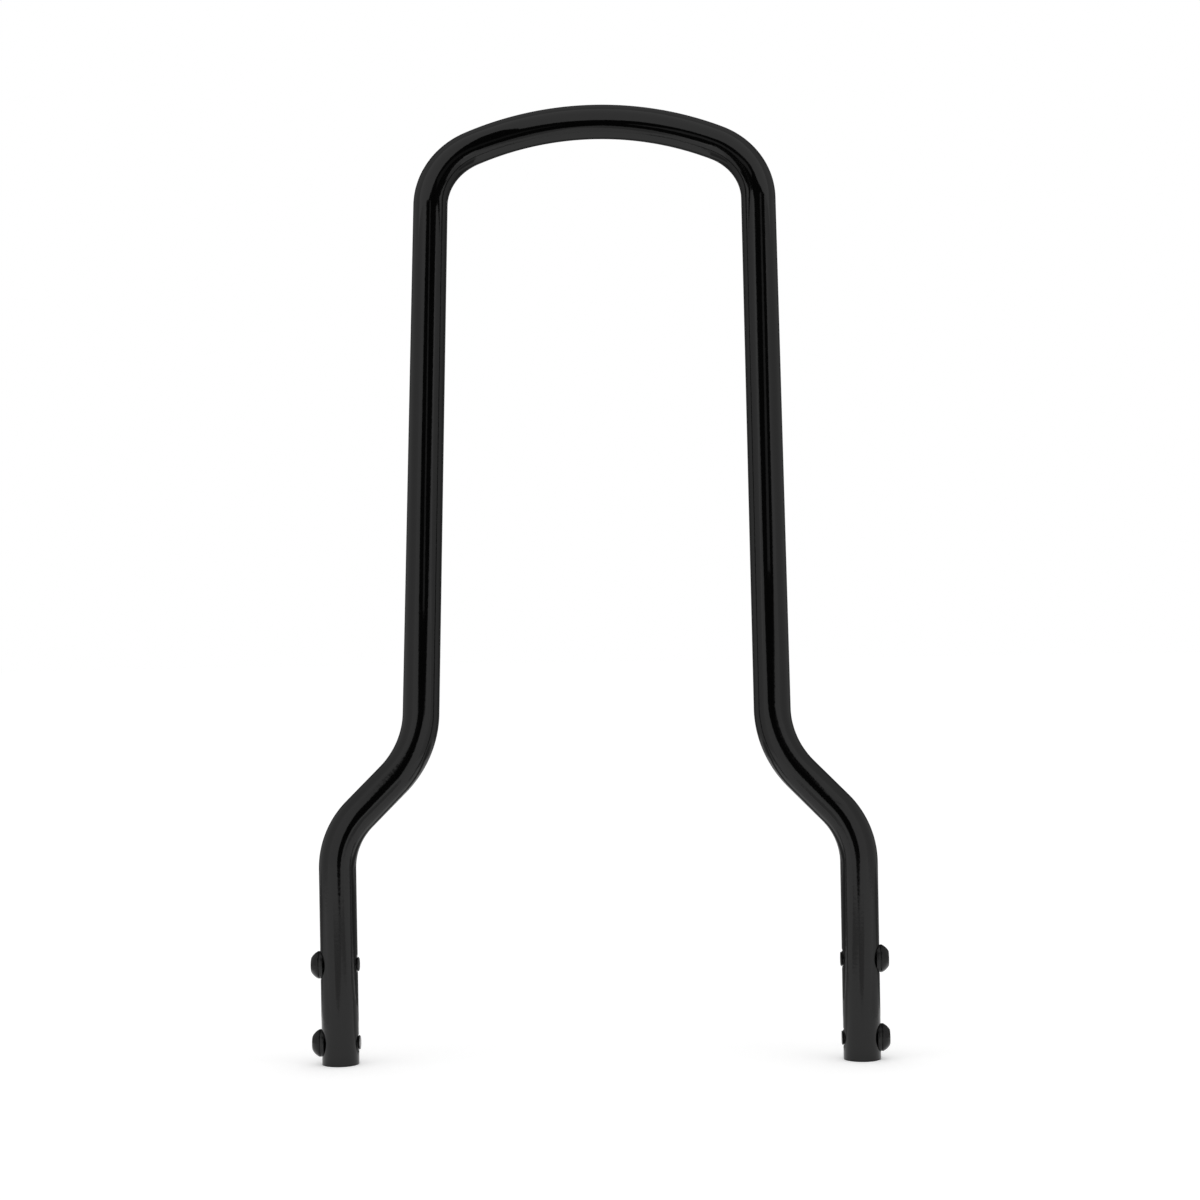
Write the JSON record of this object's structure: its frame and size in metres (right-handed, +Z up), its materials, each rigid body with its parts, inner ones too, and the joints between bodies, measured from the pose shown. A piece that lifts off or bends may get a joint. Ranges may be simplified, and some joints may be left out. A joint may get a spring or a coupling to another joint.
{
  "type": "sissy bar",
  "caption": "Tall open hoop bent from round steel bar, crowned on top and dog-legged at its sides, that screws to side plates behind a motorcycle's seat.",
  "frame": {"origin": "midway between the legs, in the middle of the four screw holes that hold the bar to its side plates", "axes": "+X to the right-hand side seen from the front, +Y to the rear, where the hoop leans, +Z up the legs"},
  "size_m": [0.2942, 0.1448, 0.5126],
  "materials": {
    "bar_coat": "gloss black powder coat on solid steel",
    "screw_coat": "gloss black coat over a forged screw",
    "washer_coat": "satin black spring steel"
  },
  "bodies": {
    "root": {"bar": "bar_coat", "screw_left_upper": "screw_coat", "screw_left_lower": "screw_coat", "screw_right_upper": "screw_coat", "screw_right_lower": "screw_coat", "lock_washer_left_upper": "washer_coat", "lock_washer_left_lower": "washer_coat", "lock_washer_right_upper": "washer_coat", "lock_washer_right_lower": "washer_coat"}
  },
  "joints": []
}
